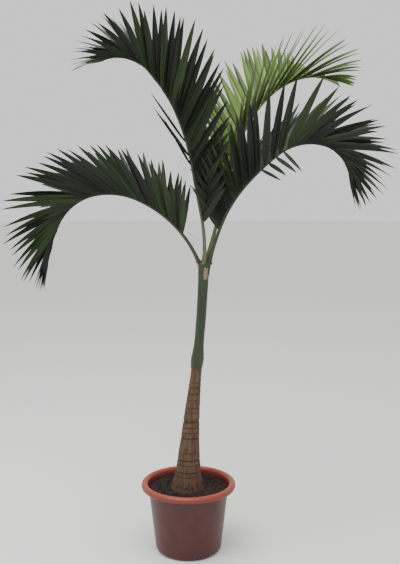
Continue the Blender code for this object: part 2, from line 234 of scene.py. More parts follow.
# Bark chips: broken, fibrous and matt, from near black to red-brown
CHIP_DARK = Finish("dark_bark_chip", "#1d110d", "#2c1b14", "#120a08",
                   patch_mm=4, grain_mm=1.0, relief_mm=0.25)
CHIP_BROWN = Finish("brown_bark_chip", "#4a2d1f", "#36201a", "#231510",
                    patch_mm=4, grain_mm=1.0, relief_mm=0.25)
# Palm trunk: grey-brown corky skin with fine upright cracks and dark leaf scars, whose darkness is partly
# their own colour and partly painted shade in their grooves
BARK = Finish("ringed_palm_trunk_skin", "#5c432f", "#41301f", "#20140e",
              patch_mm=9, grain_mm=1.4, relief_mm=0.35, roughness=0.85, stretch=5.0)
# Root tips at the trunk's foot: dull brown and rough
ROOT_SKIN = Finish("trunk_foot_root_skin", "#5b4033", "#3c281f", "#2a1b15",
                   grain_mm=1.2, relief_mm=0.3, roughness=0.88)
# Crownshaft: smooth green leaf sheaths with a waxy bloom, browning where they join the trunk
SHEATH = Finish("waxy_green_leaf_sheath", "#172809", "#243612", "#2c1f12",
                patch_mm=16, grain_mm=1.5, relief_mm=0.06, roughness=0.46, stretch=6.0, sheen=0.05)
# Dead sheath edges: papery, from grey-beige to orange-pink and maroon
DRY_BEIGE = Finish("dry_beige_sheath_edge", "#8d7f6a", "#6c5d4b", "#4c4034")
DRY_ORANGE = Finish("dry_orange_sheath_edge", "#a5694b", "#824c38", "#5c3a2c")
DRY_MAROON = Finish("dry_maroon_sheath_edge", "#4c241d", "#341813", "#2a1512", roughness=0.85)
# Loose leaf fibres: smooth, from off-white to nearly black
FIBRE_PALE = Finish("pale_leaf_fibre", "#b9b4a4", "#99917f", "#7a7264", relief_mm=0.05, roughness=0.8)
FIBRE_DARK = Finish("dark_leaf_fibre", "#2b2a1e", "#1c1a13", "#15130f", relief_mm=0.05, roughness=0.7)
# Leaf stalks: smooth and hard, greyish where scurf is left on them, green further up
STALK_GREY = Finish("scurfy_grey_leaf_stalk", "#5d6145", "#4a5034", "#28311a",
                    patch_mm=8, relief_mm=0.04, roughness=0.5, stretch=4.0)
STALK_GREEN = Finish("green_leaf_stalk", "#3c4a20", "#4a5a28", "#56702a",
                     patch_mm=8, relief_mm=0.04, roughness=0.45, stretch=4.0)
STALK_DARK = Finish("dark_green_leaf_stalk", "#333b20", "#262e18", "#1b2212",
                    patch_mm=8, relief_mm=0.04, roughness=0.45, stretch=4.0)


class LeafTone(Enum):
    """The greens that a frond's leaflets are dealt; the last three are painted light, lighter copies of the
    leaf green for the frond that stands against the light.
    """

    DEEP = LeafFinish("deep_green_leaflet_skin", "#0b1504")
    DARK = LeafFinish("dark_green_leaflet_skin", "#132308")
    DULL = LeafFinish("dull_green_leaflet_skin", "#223511")
    # Painted backlight: lighter copies of the same leaf green, as if lit through from behind
    BACKLIT = LeafFinish("fresh_green_leaflet_skin", "#364b12")
    BRIGHT = LeafFinish("bright_green_leaflet_skin", "#4b691b")
    PALE = LeafFinish("pale_green_leaflet_skin", "#66783e")


@cache
def dressed(finish: Finish | LeafFinish) -> bpy.types.Material:
    """Make the material of a finish, and give the same one each time after that."""
    return finish.material()


def spun(profile: Profile, sides: int) -> Solid:
    """Turn a profile round the Z axis.

    Args:
        profile: Radii and heights along the profile.
        sides: How many sides the round shape has.

    Returns:
        The shape, open where the profile ends away from the axis.
    """
    solid = bmesh.new()
    line = [solid.verts.new((radius, 0.0, height)) for radius, height in profile]
    edges = [solid.edges.new(pair) for pair in zip(line, line[1:])]
    bmesh.ops.spin(solid, geom=line + edges, cent=(0, 0, 0), axis=(0, 0, 1), dvec=(0, 0, 0),
                   angle=math.tau, steps=sides, use_merge=True)
    bmesh.ops.remove_doubles(solid, verts=solid.verts, dist=WELD)
    return solid


def rod(shares: list[float], sides: int, pointed: bool) -> Solid:
    """Make a straight rod of one unit, ringed where it is shaped later.

    Args:
        shares: Heights of the rings, from 0 to 1.
        sides: How many sides the rod has.
        pointed: Whether its far end runs to a point.

    Returns:
        The closed rod.
    """
    radii = [1.0] * (len(shares) - 1) + [0.0 if pointed else 1.0]
    solid = spun(list(zip(radii, shares)), sides)
    mouths = [edge for edge in solid.edges if edge.is_boundary]
    bmesh.ops.holes_fill(solid, edges=mouths, sides=0)
    return solid


def mesh_of(name: str, solid: Solid) -> bpy.types.Mesh:
    """Turn a solid into a mesh.

    Args:
        name: Name of the mesh.
        solid: The solid, which is freed.

    Returns:
        The mesh.
    """
    mesh = bpy.data.meshes.new(name)
    solid.to_mesh(mesh)
    solid.free()
    return mesh


def add_object(name: str, data: bpy.types.ID) -> bpy.types.Object:
    """Put an object into the scene.

    Args:
        name: Name of the object.
        data: Its mesh, lamp or camera.

    Returns:
        The object.
    """
    thing = bpy.data.objects.new(name, data)
    bpy.context.scene.collection.objects.link(thing)
    return thing


def add_to(whole: Solid, solid: Solid) -> None:
    """Put a solid into a larger mesh and free it.

    Args:
        whole: The mesh that grows.
        solid: What is added.
    """
    carrier = mesh_of("carrier", solid)
    whole.from_mesh(carrier)
    bpy.data.meshes.remove(carrier)


def finish_piece(name: str, solid: Solid, finish: Finish | LeafFinish,
                 nodes: tuple[str, ...] = (), sharp: float = 35.0) -> bpy.types.Object:
    """Make a finished piece of the palm from its mesh.

    Args:
        name: Name of the piece.
        solid: Its shape, which is freed.
        finish: Its surface.
        nodes: Solids of the frame that it stands for.
        sharp: Edges that turn by more than this many degrees stay sharp.

    Returns:
        The piece.
    """
    bmesh.ops.recalc_face_normals(solid, faces=solid.faces)
    mesh = mesh_of(name, solid)
    mesh.shade_smooth()
    mesh.set_sharp_from_angle(angle=math.radians(sharp))
    mesh.materials.append(dressed(finish))
    piece = add_object(name, mesh)
    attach(piece, "root")
    if nodes:
        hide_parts(*nodes)
    LOG.info("%s: %d faces", name, len(mesh.polygons))
    return piece


@dataclass
class Course:
    """A line through space that a rod can be laid along."""

    points: list[Vector]
    sideways: list[Vector]
    upward: list[Vector]

    def place(self, share: float, across: float, above: float) -> Vector:
        """Find a point beside the line.

        Args:
            share: How far along the line, from 0 to 1.
            across: Distance to its side.
            above: Distance above it.

        Returns:
            The point.
        """
        position = min(max(share, 0.0), 1.0) * (len(self.points) - 1)
        index = min(int(position), len(self.points) - 2)
        part = position - index
        middle = self.points[index].lerp(self.points[index + 1], part)
        side = self.sideways[index].lerp(self.sideways[index + 1], part)
        up = self.upward[index].lerp(self.upward[index + 1], part)
        return middle + side * across + up * above


THREAD_TAPER = 0.6
# Sideways on a thread is square to this, which is no thread's own direction
THREAD_ASIDE = (0.3, 1.0, 0.2)


def thread(points: list[Vector], radius: float) -> Solid:
    """Make a thin round thread through points, pointed at its far end.

    Args:
        points: The points in order.
        radius: Its radius at the near end.

    Returns:
        The closed thread.
    """
    ahead = points[-1] - points[0]
    sideways = ahead.cross(Vector(THREAD_ASIDE)).normalized()
    upward = sideways.cross(ahead).normalized()
    count = len(points)
    course = Course(points, [sideways] * count, [upward] * count)
    solid = rod(even_shares(count - 1), sides=5, pointed=True)
    for corner in solid.verts:
        across, above, share = corner.co
        size = radius * (1.0 - THREAD_TAPER * share)
        corner.co = course.place(share, across * size, above * size)
    return solid


@dataclass
class Pot:
    """The moulded tub with its rolled rim and drain holes."""

    height: float = 0.260
    rim_radius: float = 0.175
    rim_roll: float = 0.0125
    top_radius: float = 0.148
    foot_radius: float = 0.123
    foot_round: float = 0.020
    wall: float = 0.003
    sides: int = 144
    side_steps: int = 12
    roll_steps: int = 27
    drain_holes: int = 6
    drain_circle: float = 0.070
    drain_radius: float = 0.006
    drain_band: float = 0.020  # half the width of the floor's ring that holds the holes

    def side(self, depth: float) -> Profile:
        """Find the profile of the tub at or below its skin.

        Args:
            depth: How far below the outer skin.

        Returns:
            Radii and heights from the rim's foot to the axis.
        """
        rim_foot = self.height - 2 * self.rim_roll
        taper = math.degrees(math.atan2(self.top_radius - self.foot_radius, rim_foot - self.foot_round))
        centre = (self.foot_radius - self.foot_round, self.foot_round)
        corner = arc(centre, self.foot_round - depth, -taper, -90, self.side_steps)
        top, (low, foot) = self.top_radius - depth, corner[0]
        wall = [(top + (low - top) * share, rim_foot + (foot - rim_foot) * share)
                for share in even_shares(self.side_steps)[:-1]]
        outer, inner = self.drain_circle + self.drain_band, self.drain_circle - self.drain_band
        return wall + corner + [(outer, depth), (inner, depth), (0.0, depth)]

    def build(self) -> None:
        """Turn the tub, pierce its floor and dress it."""
        centre = (self.rim_radius - self.rim_roll, self.height - self.rim_roll)
        roll = arc(centre, self.rim_roll, 180, -90, self.roll_steps)
        profile = list(reversed(self.side(self.wall))) + roll + self.side(0.0)
        solid = spun(profile, self.sides)
        shade = solid.verts.layers.float.new("shade")
        # The shade attribute rises to 1 over the rim's roll, where the colour turns paler: a painted
        # highlight of the overhead light
        for corner in solid.verts:
            outward = corner.co.xy.length
            on_rim = outward > self.top_radius and corner.co.z > self.height - 2 * self.rim_roll
            rise = (corner.co.z - self.height + 2 * self.rim_roll) / (2 * self.rim_roll)
            corner[shade] = max(0.0, min(1.0, rise)) if on_rim else 0.0
        self.pierce(finish_piece("pot_tub", solid, POT_PLASTIC_PAINTED_LIGHT, ("pot",)))

    def pierce(self, piece: bpy.types.Object) -> None:
        """Cut the drain holes through the floor.

        Args:
            piece: The pot.
        """
        rods = bmesh.new()
        for index in range(self.drain_holes):
            angle = math.tau * index / self.drain_holes
            place = (self.drain_circle * math.cos(angle), self.drain_circle * math.sin(angle), 0.0)
            bmesh.ops.create_cone(
                rods, cap_ends=True, segments=24, radius1=self.drain_radius, radius2=self.drain_radius,
                depth=4 * self.wall, matrix=Matrix.Translation(place))
        cutter = add_object("drain_rods", mesh_of("drain_rods", rods))
        cut = piece.modifiers.new("drain", "BOOLEAN")
        cut.operation = "DIFFERENCE"
        cut.solver = "EXACT"
        cut.object = cutter
        graph = bpy.context.evaluated_depsgraph_get()
        pierced = bpy.data.meshes.new_from_object(piece.evaluated_get(graph))
        piece.modifiers.clear()
        piece.data = pierced
        bpy.data.objects.remove(cutter)


@dataclass
class PottingMix:
    """The peat that fills the pot, with bark chips on it."""

    clearance: float = 0.0035  # from the pot's outer skin to the mix
    ring_step: float = 0.0022
    sides: int = 150
    crumb: float = 0.0035  # height of the lumps
    lumps: float = 45.0  # noise cells in a metre, coarse and fine
    crumbs: float = 160.0
    crumb_share: float = 0.6
    trunk_foot: float = 0.066
    trunk_margin: float = 0.012  # this near to the trunk the mix doesn't dip
    trunk_lift: float = 0.0005
    chips: int = 900
    chip_sizes: Range = (0.0016, 0.0042)
    chip_widths: Range = (0.4, 0.9)  # as shares of the size
    chip_depths: Range = (0.3, 0.6)
    chip_rise: float = 0.25  # of a chip's middle above the mix, as a share of its size
    edge_margin: float = 0.004
    brown_share: float = 0.12  # of the chips on the left, and what is added on the right
    brown_on_right: float = 0.55
    brown_size: float = 1.25
    seed: int = 11

    def lump(self, across: float, along: float, middle: float) -> float:
        """Find how far the crumbly top stands above its level.

        Args:
            across: Place along X.
            along: Place along Y.
            middle: Distance from the pot's middle.

        Returns:
            The height, not below the level close to the trunk.
        """
        coarse = noise.noise(Vector((across, along, 0.0)) * self.lumps)
        fine = noise.noise(Vector((across, along, 0.2)) * self.crumbs)
        lump = (coarse + self.crumb_share * fine) * self.crumb
        near_trunk = middle < self.trunk_foot + self.trunk_margin
        return max(lump, 0.0) + self.trunk_lift if near_trunk else lump

    def build(self) -> None:
        """Fill the pot with mix and scatter chips on it."""
        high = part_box("potting_mix")[1]
        wall = [point for point in Pot().side(self.clearance) if point[1] < high.z]
        top = [(high.x * share, high.z) for share in even_shares(int(high.x / self.ring_step))]
        solid = spun(top + wall, self.sides)
        for corner in solid.verts:
            middle = corner.co.xy.length
            if corner.co.z > high.z - WELD and middle < high.x - self.ring_step / 2:
                corner.co.z += self.lump(corner.co.x, corner.co.y, middle)
        finish_piece("potting_mix_fill", solid, PEAT, ("potting_mix",), sharp=60)
        self.scatter(high.x, high.z)

    def scatter(self, edge: float, level: float) -> None:
        """Scatter bark chips, the coarse brown ones mostly on the right.

        Args:
            edge: Radius of the mix at its top.
            level: Height of its top.
        """
        chance = random.Random(self.seed)
        dark, brown = bmesh.new(), bmesh.new()
        for _ in range(self.chips):
            middle = math.sqrt(chance.uniform(self.trunk_foot ** 2, (edge - self.edge_margin) ** 2))
            angle = chance.uniform(0.0, math.tau)
            across, along = middle * math.cos(angle), middle * math.sin(angle)
            brown_here = self.brown_share + self.brown_on_right * max(0.0, math.cos(angle)) ** 2
            is_brown = chance.random() < brown_here
            size = chance.uniform(*self.chip_sizes) * (self.brown_size if is_brown else 1.0)
            height = level + self.lump(across, along, middle) + size * self.chip_rise
            turn = Euler([chance.uniform(0.0, math.tau) for _ in range(3)]).to_matrix().to_4x4()
            width, depth = size * chance.uniform(*self.chip_widths), size * chance.uniform(*self.chip_depths)
            shape = Matrix.Diagonal((size, width, depth, 1.0))
            place = Matrix.Translation((across, along, height))
            bmesh.ops.create_icosphere(
                brown if is_brown else dark, subdivisions=1, radius=1.0, matrix=place @ turn @ shape)
        finish_piece("bark_chips_dark", dark, CHIP_DARK, sharp=20)
        finish_piece("bark_chips_brown", brown, CHIP_BROWN, sharp=20)


def skin_noise(turn: Vector, height: float, scales: Range) -> float:
    """Read noise from -1 to 1 on a round stem, with its scales round the stem and up a metre."""
    return noise.noise(turn * scales[0] + Vector((0.0, 0.0, height * scales[1])))


@dataclass
class Stem:
    """The leaning line that the trunk and the crownshaft stand on."""

    lean_start: float = -0.004
    lean_travel: float = 0.0615
    lean_swing: float = 0.065  # depth of the double bend, as a share of the travel
    core: float = 0.5  # corners of a rod this near to its axis aren't skin
    core_shade: float = 0.5

    def __post_init__(self) -> None:
        """Read from the frame where the trunk starts and where the crownshaft ends."""
        self.stem_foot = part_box("trunk")[0].z
        self.stem_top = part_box("crownshaft")[1].z

    def lean(self, height: float) -> float:
        """Find how far along +X the middle of the stem stands at a height above the floor."""
        share = (height - self.stem_foot) / (self.stem_top - self.stem_foot)
        return self.lean_start + self.lean_travel * (share - self.lean_swing * math.sin(math.tau * share))

    def around(self, angle: float, radius: float, height: float) -> Vector:
        """Find a point round the middle of the stem at a height above the floor."""
        across = self.lean(height) + radius * math.cos(angle)
        return Vector((across, radius * math.sin(angle), height))

    def skin(self, angle: float, height: float) -> tuple[float, float]:
        """Find radius and shade, by a rule that each kind of stem has for itself."""
        raise NotImplementedError

    def clothe(self, solid: Solid, foot: float, length: float) -> None:
        """Lay an upright rod of one unit along the stem and give it the stem's skin.

        Args:
            solid: The rod. What is in its core keeps its radius.
            foot: Height of its foot above the floor.
            length: Its length.
        """
        shade = solid.verts.layers.float.new("shade")
        for corner in solid.verts:
            angle = math.atan2(corner.co.y, corner.co.x)
            height = corner.co.z * length
            radius, dark = corner.co.xy.length, self.core_shade
            if radius > self.core:
                radius, dark = self.skin(angle, min(height, length))
            corner[shade] = dark
            corner.co = self.around(angle, radius, foot + height)


@dataclass
class Trunk(Stem):
    """The flared, ringed trunk."""

    girth: Pairs = ((0.000, 0.128), (0.013, 0.116), (0.058, 0.095), (0.105, 0.084), (0.195, 0.068),
                    (0.290, 0.056), (0.380, 0.0450), (0.425, 0.0400), (0.454, 0.0395))
    # Height of each leaf scar above the mix, and how bold it is
    scars: Pairs = ((0.052, 0.7), (0.067, 0.8), (0.094, 0.7), (0.112, 1.0), (0.141, 0.7), (0.194, 1.0),
                    (0.214, 0.7), (0.234, 0.9), (0.256, 1.7), (0.290, 0.7), (0.308, 0.8), (0.336, 0.7),
                    (0.359, 0.8), (0.383, 0.9), (0.401, 0.7))
    scar_half_width: float = 0.0032
    scar_depth: float = 0.0013
    # Darkening in a scar's groove: partly the scar's own colour, partly painted shade
    scar_shade: float = 0.75
    scar_wave: float = 0.0018  # how far a scar strays up and down round the trunk
    waves: Range = (1.3, 90.0)  # noise scales round the trunk and from scar to scar
    ridge: Range = (2.2, 1.2)  # place above a scar and breadth, in half widths of the scar
    ridge_height: float = 0.0005
    crack_spacing: float = 0.0045
    crack_length: float = 0.040
    crack_depth: float = 0.0010
    crack_shade: float = 0.45
    bumps: Range = (2.2, 30.0)  # noise scales of broad unevenness
    bump_height: float = 0.0006
    root_lobes: int = 11
    root_wander: float = 3.0  # how unevenly the lobes are spread, and its noise scales
    wanders: Range = (2.0, 0.0)
    root_swell: float = 0.0030
    root_sink: float = 0.6  # share of the swell that lies below the girth
    root_reach: float = 0.018
    root_shade: float = 0.5
    sides: int = 112
    rings: int = 270
    nubs: int = 46
    nub_lowest: float = 0.003
    nub_spread: float = 0.034
    nub_crowding: float = 1.5  # how strongly the root tips crowd towards the foot
    nub_sink: float = 0.002
    nub_dip: float = 0.003  # how far a root tip may run on past the trunk's foot
    nub_slopes: Range = (0.9, 1.6)
    nub_lengths: Range = (0.008, 0.016)
    nub_radii: Range = (0.0018, 0.0032)
    seed: int = 5

    def skin(self, angle: float, height: float) -> tuple[float, float]:
        """Find the shape and shade of the bark at a place.

        Args:
            angle: Angle round the trunk.
            height: Height above the trunk's foot.

        Returns:
            The radius there, and how dark the bark is, from 0 to 1.
        """
        radius = between(self.girth, height) / 2
        turn = Vector((math.cos(angle), math.sin(angle), 0.0))
        cracks = (radius / self.crack_spacing, 1.0 / self.crack_length)
        crack = max(0.0, skin_noise(turn, height, cracks))
        relief = self.bump_height * skin_noise(turn, height, self.bumps)
        relief -= self.crack_depth * crack
        dark = self.crack_shade * crack
        for place, bold in self.scars:
            wave = self.scar_wave * skin_noise(turn, place, self.waves)
            away = (height - place - wave) / (self.scar_half_width * bold)
            groove = math.exp(-away * away)
            ridge = math.exp(-((away - self.ridge[0]) / self.ridge[1]) ** 2)
            relief += -self.scar_depth * bold * groove + self.ridge_height * ridge
            # The groove is darkened partly by the scar's own colour and partly by painted shade in the
            # recess
            dark += self.scar_shade * min(1.0, bold) * groove
        fade = math.exp(-height / self.root_reach)
        wander = self.root_wander * skin_noise(turn, height, self.wanders)
        swell = 0.5 + 0.5 * math.sin(self.root_lobes * angle + wander)
        relief += self.root_swell * (swell - self.root_sink) * fade
        dark += self.root_shade * fade
        return radius + relief, min(1.0, dark)

    def build(self) -> None:
        """Raise the trunk and the root tips at its foot."""
        low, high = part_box("trunk")
        solid = rod(even_shares(self.rings), self.sides, pointed=False)
        self.clothe(solid, low.z, high.z - low.z)
        finish_piece("trunk_bark", solid, BARK, ("trunk",), sharp=70)
        self.grow_nubs()

    def grow_nubs(self) -> None:
        """Set short root tips round the flare."""
        chance = random.Random(self.seed)
        whole = bmesh.new()
        for _ in range(self.nubs):
            angle = chance.uniform(0.0, math.tau)
            height = self.nub_lowest + self.nub_spread * chance.random() ** self.nub_crowding
            radius = self.skin(angle, height)[0] - self.nub_sink
            root = self.around(angle, radius, self.stem_foot + height)
            slope = chance.uniform(*self.nub_slopes)
            outward = Vector((math.cos(angle), math.sin(angle), -slope)).normalized()
            length = min(chance.uniform(*self.nub_lengths), height / -outward.z + self.nub_dip)
            points = [root + outward * length * share for share in even_shares(4)]
            add_to(whole, thread(points, chance.uniform(*self.nub_radii)))
        finish_piece("trunk_root_tips", whole, ROOT_SKIN)


@dataclass
class Crownshaft(Stem):
    """The green column of rolled leaf sheaths on top of the trunk."""

    girth: Pairs = ((0.000, 0.0425), (0.014, 0.0457), (0.036, 0.0478), (0.058, 0.0425), (0.082, 0.0372),
                    (0.104, 0.0352), (0.190, 0.0364), (0.280, 0.0372), (0.330, 0.0388), (0.366, 0.0430),
                    (0.382, 0.0480))
    seam_step: float = 0.0012  # the outer sheath's edge stands this far above what it wraps
    seam_start: float = -1.9  # angle of that edge at the foot, and its turn over a metre
    seam_turn: float = 2.6
    seam_breadth: float = 0.012  # of the dark line along it, in turns round the shaft
    seam_shade: float = 0.6
    rib_count: int = 34
    rib_height: float = 0.00012
    bumps: Range = (1.5, 25.0)  # noise scales of broad unevenness, and of brown blotches
    bump_height: float = 0.0004
    blotches: Range = (3.0, 60.0)
    blotch_start: float = 0.25  # noise above this is a blotch
    blotch_shade: float = 0.7
    foot_brown: float = 0.9  # the browned ring where the sheath joins the trunk
    foot_reach: float = 0.006
    # Radius and height above the shaft where the folded bases of the stalks close its top
    dome: Pairs = ((0.0235, 0.002), (0.020, 0.008), (0.012, 0.014), (0.0, 0.017))
    sides: int = 120
    rings: int = 130

    def skin(self, angle: float, height: float) -> tuple[float, float]:
        """Find the shape and shade of the sheath at a place.

        Args:
            angle: Angle round the shaft.
            height: Height above the shaft's foot.

        Returns:
            The radius there, and how brown the sheath is, from 0 to 1.
        """
        turn = Vector((math.cos(angle), math.sin(angle), 0.0))
        wound = ((angle - self.seam_start - self.seam_turn * height) / math.tau) % 1.0
        radius = between(self.girth, height) / 2 + self.seam_step * (wound - 0.5)
        radius += self.rib_height * math.sin(self.rib_count * angle)
        radius += self.bump_height * skin_noise(turn, height, self.bumps)
        seam = math.exp(-((1.0 - wound) / self.seam_breadth) ** 2)
        blotch = max(0.0, skin_noise(turn, height, self.blotches) - self.blotch_start)
        foot = self.foot_brown * math.exp(-height / self.foot_reach)
        return radius, min(1.0, foot + self.seam_shade * seam + self.blotch_shade * blotch)

    def build(self) -> None:
        """Raise the crownshaft and close its top."""
        low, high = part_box("crownshaft")
        length = high.z - low.z
        profile = [(1.0, share) for share in even_shares(self.rings)]
        dome = [(radius, 1.0 + height / length) for radius, height in self.dome]
        solid = spun([(0.0, 0.0)] + profile + dome, self.sides)
        self.clothe(solid, low.z, length)
        finish_piece("crownshaft_sheath", solid, SHEATH, ("crownshaft",))


@dataclass(frozen=True)
class FrondPlan:
    """How the rib of one frond runs and how its leaflets stand on it, with angles in degrees."""

    name: str
    stalk_finish: Finish
    tones: dict[LeafTone, float]  # greens of the leaflets and how often each comes
    foot: Range  # x and y where the stalk leaves the crownshaft
    heading: Stations  # direction over the ground at the foot and tip, from +X
    rise: Stations  # how steeply the rib climbs at each fifth of its length
    length: float  # along the rib, bare stalk included
    stalk: float  # share of the length that carries no leaflets
    pairs: int
    leaflet: float  # length of the longest
    lift: Stations  # fold up from the sides at the foot, middle and tip
    roll: Stations  # turn of the blade round its rib at the same places
    droop: float  # how strongly the leaflets hang
    twist: float = 33.0  # turn of each leaflet about its own length
    fallen: tuple[int, ...] = ()  # pairs whose leaflet on the viewer's side has dropped
    dropped: tuple[float, ...] = ()  # sweep and lift of those, and share of the length
    stretches: tuple[str, ...] = ("inner", "arch", "tip")  # its solids in the frame
    slot: str = "leaf_dark"

    def nodes(self) -> tuple[str, ...]:
        """Name the solids of the frame that the frond stands for."""
        return tuple(f"{self.name}_{stretch}" for stretch in self.stretches)


PLANS = (
    FrondPlan(
        "frond_tall", STALK_GREY, {LeafTone.DEEP: 0.35, LeafTone.DARK: 0.50, LeafTone.DULL: 0.15},
        foot=(0.0577, -0.0095), heading=(200, 205), rise=(95, 78, 79, 65, 45, -24), length=0.885,
        stalk=0.17, pairs=44, leaflet=0.305, lift=(35, 39, 28), roll=(-15, 3, 0), droop=0.8,
        fallen=(12, 14, 17), dropped=(24, -75, 0.80)),
    FrondPlan(
        "frond_right", STALK_DARK, {LeafTone.DEEP: 0.55, LeafTone.DARK: 0.40, LeafTone.DULL: 0.05},
        foot=(0.0737, -0.0020), heading=(-20, -24), rise=(76, 66, 47, 36, -14, -83), length=0.790,
        stalk=0.16, pairs=40, leaflet=0.315, lift=(50, 38, 18), roll=(-5, -6, 0), droop=1.0,
        fallen=(16, 18, 20, 22), dropped=(70, -55, 0.45)),
    FrondPlan(
        "frond_left", STALK_DARK, {LeafTone.DEEP: 0.35, LeafTone.DARK: 0.35, LeafTone.DULL: 0.30},
        foot=(0.0422, 0.0000), heading=(170, 165), rise=(68, 44, 22, -13, -59, -81), length=0.842,
        stalk=0.15, pairs=42, leaflet=0.300, lift=(60, 42, -2), roll=(0, 0, -20), droop=1.4),
    # The back frond is dealt the backlit greens, which are painted light
    FrondPlan(
        "frond_back", STALK_GREEN, {LeafTone.BACKLIT: 0.40, LeafTone.BRIGHT: 0.40, LeafTone.PALE: 0.20},
        foot=(0.0617, 0.0125), heading=(36, 42), rise=(68, 74, 66, 42, 17, -6), length=1.08,
        stalk=0.20, pairs=44, leaflet=0.310, lift=(42, 47, 14), roll=(-5, -6, 0), droop=1.0,
        twist=-28.0, stretches=("inner", "tip"), slot="leaf_bright"),
)


@dataclass
class Frond:
    """One leaf of the palm: its stalk and rib, and two rows of leaflets."""

    plan: FrondPlan
    seed: int
    rib_steps: int = 60
    rib_sides: int = 14
    rib_girth: Pairs = ((0.0, 0.0172), (0.18, 0.0132), (0.60, 0.0084), (1.0, 0.0036))
    rib_flare: float = 0.30  # how much thicker the rib is where it leaves the shaft
    flare_reach: float = 0.02
    rib_fade: float = 0.25  # share of the length past the bare stalk where its far colour is full
    channel: float = 0.60  # depth of the groove along the rib, as a share of its radius
    stagger: float = 0.25  # share of the spacing by which the right row is set on
    leaflet_width: float = 0.0265  # of the longest leaflet
    leaflet_lengths: Stations = (0.64, 0.80, 0.94, 1.00, 0.84, 0.40)
    leaflet_sweep: Stations = (50, 49, 46, 42, 36, 13)
    leaflet_droop: Stations = (0.30, 0.25, 0.15, 0.15, 0.35, 0.50)
    droop_power: float = 1.6
    sweep_jitter: float = 1.5
    lift_jitter: float = 2.5
    twist_jitter: float = 5.0
    length_jitter: float = 0.025
    droop_range: Range = (0.8, 1.25)
    leaflet_steps: int = 11
    fold: float = 0.34  # fall of a leaflet's edges over half its width
    thickness: float = 0.0006
    thinning: float = 0.6  # how much thinner a leaflet is at its tip
    # Width of a leaflet along its length
    outline: Pairs = ((0.0, 0.22), (0.03, 0.45), (0.10, 0.78), (0.22, 0.97), (0.35, 1.0), (0.50, 0.93),
                      (0.64, 0.80), (0.77, 0.60), (0.88, 0.36), (0.95, 0.18), (1.0, 0.0))

    def along(self, share: float) -> Vector:
        """Find the direction in which the rib runs.

        Args:
            share: Share of the rib's length.

        Returns:
            The direction, one unit long.
        """
        heading = math.radians(evenly(self.plan.heading, share))
        rise = math.radians(evenly(self.plan.rise, share))
        level = math.cos(rise)
        return Vector((level * math.cos(heading), level * math.sin(heading), math.sin(rise)))

    def axes(self, share: float, roll: float) -> tuple[Vector, Vector]:
        """Find the directions to the left of the rib and out of its upper face.

        Args:
            share: Share of the rib's length.
            roll: Turn of the blade round the rib, in degrees.

        Returns:
            The two directions.
        """
        heading = math.radians(evenly(self.plan.heading, share))
        left = Vector((-math.sin(heading), math.cos(heading), 0.0))
        upper = self.along(share).cross(left)
        turn = math.radians(roll)
        return (left * math.cos(turn) + upper * math.sin(turn),
                upper * math.cos(turn) - left * math.sin(turn))

    def rib_course(self) -> Course:
        """Trace the rib from its foot to its tip.

        Returns:
            The course of the rib.
        """
        plan = self.plan
        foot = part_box("crownshaft")[1].z
        points = [Vector((*plan.foot, foot))]
        for index in range(self.rib_steps):
            stride = self.along((index + 0.5) / self.rib_steps) * plan.length / self.rib_steps
            points.append(points[-1] + stride)
        sides = [self.axes(share, roll=0.0) for share in even_shares(self.rib_steps)]
        return Course(points, [left for left, _ in sides], [upper for _, upper in sides])

    def leaflet_course(
            self, rib: Course, pair: int, side: int, chance: random.Random) -> tuple[Course, float]:
        """Lay out one leaflet.

        Args:
            rib: The course of the rib.
            pair: Number of its pair from the foot.
            side: 1 for the left row, -1 for the right row.
            chance: Source of the small differences between leaflets.

        Returns:
            Its course, and its width.
        """
        plan = self.plan
        place = pair / (plan.pairs - 1)
        row = (pair + (self.stagger if side < 0 else 0.0)) / plan.pairs
        share = plan.stalk + (1.0 - plan.stalk) * row
        sweep, lift, size = evenly(self.leaflet_sweep, place), evenly(plan.lift, place), 1.0
        towards_viewer = 1 if math.cos(math.radians(plan.heading[0])) < 0 else -1
        if pair in plan.fallen and side == towards_viewer:
            sweep, lift, size = plan.dropped
        sweep = math.radians(sweep + chance.gauss(0.0, self.sweep_jitter))
        lift = math.radians(lift + chance.gauss(0.0, self.lift_jitter))
        twist = math.radians(plan.twist + chance.gauss(0.0, self.twist_jitter))
        left, upper = self.axes(share, evenly(plan.roll, place))
        along = self.along(share)
        outward = left * side * math.cos(lift) + upper * math.sin(lift)
        start = along * math.cos(sweep) + outward * math.sin(sweep)
        size *= evenly(self.leaflet_lengths, place) * (1.0 + chance.gauss(0.0, self.length_jitter))
        length = plan.leaflet * size
        droop = evenly(self.leaflet_droop, place) * plan.droop * chance.uniform(*self.droop_range)
        points, sideways, upward = [rib.place(share, 0.0, 0.0)], [], []
        for step in range(self.leaflet_steps + 1):
            fall = droop * (step / self.leaflet_steps) ** self.droop_power
            heading = (start + Vector((0.0, 0.0, -fall))).normalized()
            edge = (along - heading * along.dot(heading)).normalized()
            face = edge.cross(heading) * side
            sideways.append(edge * math.cos(twist) - face * math.sin(twist))
            upward.append(face * math.cos(twist) + edge * math.sin(twist))
            if step < self.leaflet_steps:
                points.append(points[-1] + heading * length / self.leaflet_steps)
        return Course(points, sideways, upward), self.leaflet_width * math.sqrt(size)

    def leaflet(self, blank: Solid, course: Course, width: float) -> Solid:
        """Shape the blank into a leaflet folded along its midrib.

        Args:
            blank: A four-sided pointed rod.
            course: Where the leaflet runs.
            width: Its greatest width.

        Returns:
            The closed leaflet.
        """
        solid = blank.copy()
        for corner in solid.verts:
            across, above, share = corner.co
            half_width = width / 2 * between(self.outline, share)
            rise = above * self.thickness * (1.0 - self.thinning * share)
            rise -= abs(across) * half_width * self.fold
            corner.co = course.place(share, across * half_width, rise)
        return solid

